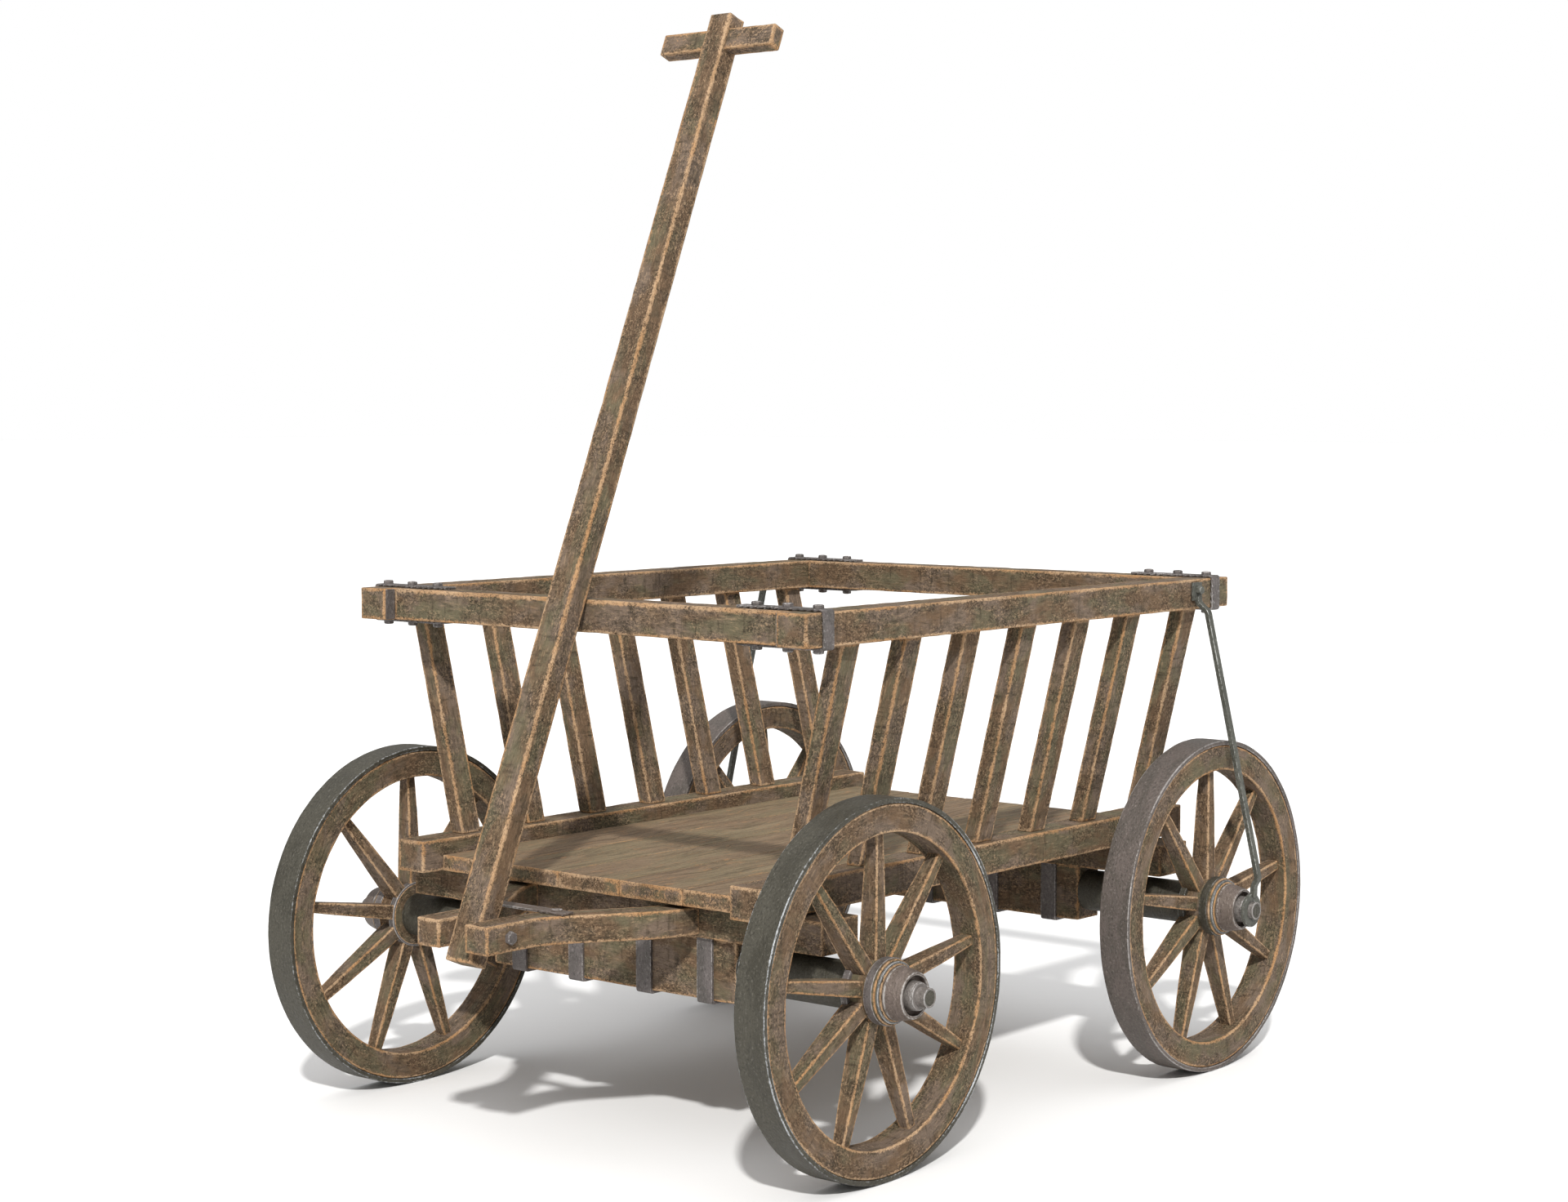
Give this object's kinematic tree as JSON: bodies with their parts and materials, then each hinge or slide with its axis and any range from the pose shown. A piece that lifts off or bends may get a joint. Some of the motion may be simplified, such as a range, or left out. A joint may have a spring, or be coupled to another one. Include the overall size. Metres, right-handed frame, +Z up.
{
  "type": "hand cart",
  "caption": "Wooden hand cart with slatted sloping sides, plank floor, spoked iron-tyred wheels, a steered front axle and a hinged drawbar.",
  "frame": {"origin": "on the ground, at the centre of the overall length and width", "axes": "+Z up, -Y the way the cart is pulled (drawbar end), +X the cart's own left"},
  "size_m": [0.9818, 1.2846, 1.435],
  "materials": {
    "frame_wood": "weathered grey-brown timber with worn arrises",
    "floor_wood": "weathered planks with long grain",
    "wheel_wood": "weathered brown timber",
    "tyre_iron": "worn dark iron",
    "iron": "worn dark iron"
  },
  "bodies": {
    "cart": {"bottom_rail_left": "frame_wood", "bottom_rail_right": "frame_wood", "floor_plank_1": "floor_wood", "floor_plank_2": "floor_wood", "floor_plank_3": "floor_wood", "floor_plank_4": "floor_wood", "floor_plank_5": "floor_wood", "stake_left_1": "frame_wood", "stake_left_2": "frame_wood", "stake_left_3": "frame_wood", "stake_left_4": "frame_wood", "stake_left_5": "frame_wood", "stake_left_6": "frame_wood", "stake_left_7": "frame_wood", "stake_right_1": "frame_wood", "stake_right_2": "frame_wood", "stake_right_3": "frame_wood", "stake_right_4": "frame_wood", "stake_right_5": "frame_wood", "stake_right_6": "frame_wood", "stake_right_7": "frame_wood", "top_rail_left": "frame_wood", "top_rail_right": "frame_wood", "top_rail_front": "frame_wood", "top_rail_rear": "frame_wood", "corner_strap_front_left": "iron", "corner_strap_front_right": "iron", "corner_strap_rear_left": "iron", "corner_strap_rear_right": "iron", "stay_left": "iron", "stay_right": "iron", "king_pin": "iron", "rear_bolster": "frame_wood", "rear_axle_bed": "frame_wood", "rear_axle": "iron"},
    "steering": {"front_axle_bed": "frame_wood", "front_bolster": "frame_wood", "drawbar_arm_left": "frame_wood", "drawbar_arm_right": "frame_wood", "arm_brace": "iron", "front_axle": "iron", "axle_strap_1": "iron", "axle_strap_2": "iron", "axle_strap_3": "iron", "axle_strap_4": "iron"},
    "drawbar": {"drawbar_pole": "frame_wood", "drawbar_handle": "frame_wood", "drawbar_pin": "iron"},
    "wheel_front_left_body": {"tyre_front_left": "tyre_iron", "wheel_front_left": "wheel_wood", "nave_cap_front_left": "iron"},
    "wheel_front_right_body": {"tyre_front_right": "tyre_iron", "wheel_front_right": "wheel_wood", "nave_cap_front_right": "iron"},
    "wheel_rear_left_body": {"tyre_rear_left": "tyre_iron", "wheel_rear_left": "wheel_wood", "nave_cap_rear_left": "iron"},
    "wheel_rear_right_body": {"tyre_rear_right": "tyre_iron", "wheel_rear_right": "wheel_wood", "nave_cap_rear_right": "iron"}
  },
  "joints": [
    {"name": "steering_turn", "type": "hinge", "parent": "cart", "child": "steering", "pos_m": [0, -0.3377, 0.29], "axis": [0, 0, 1], "range_deg": [-12, 12]},
    {"name": "drawbar_swing", "type": "hinge", "parent": "steering", "child": "drawbar", "pos_m": [0, -0.6045, 0.289], "axis": [1, 0, 0], "range_deg": [0, 124]},
    {"name": "wheel_front_left_spin", "type": "hinge", "parent": "steering", "child": "wheel_front_left_body", "pos_m": [0.4025, -0.3377, 0.23], "axis": [1, 0, 0], "continuous": true},
    {"name": "wheel_front_right_spin", "type": "hinge", "parent": "steering", "child": "wheel_front_right_body", "pos_m": [-0.4025, -0.3377, 0.23], "axis": [1, 0, 0], "continuous": true},
    {"name": "wheel_rear_left_spin", "type": "hinge", "parent": "cart", "child": "wheel_rear_left_body", "pos_m": [0.4025, 0.4123, 0.23], "axis": [1, 0, 0], "continuous": true},
    {"name": "wheel_rear_right_spin", "type": "hinge", "parent": "cart", "child": "wheel_rear_right_body", "pos_m": [-0.4025, 0.4123, 0.23], "axis": [1, 0, 0], "continuous": true}
  ]
}
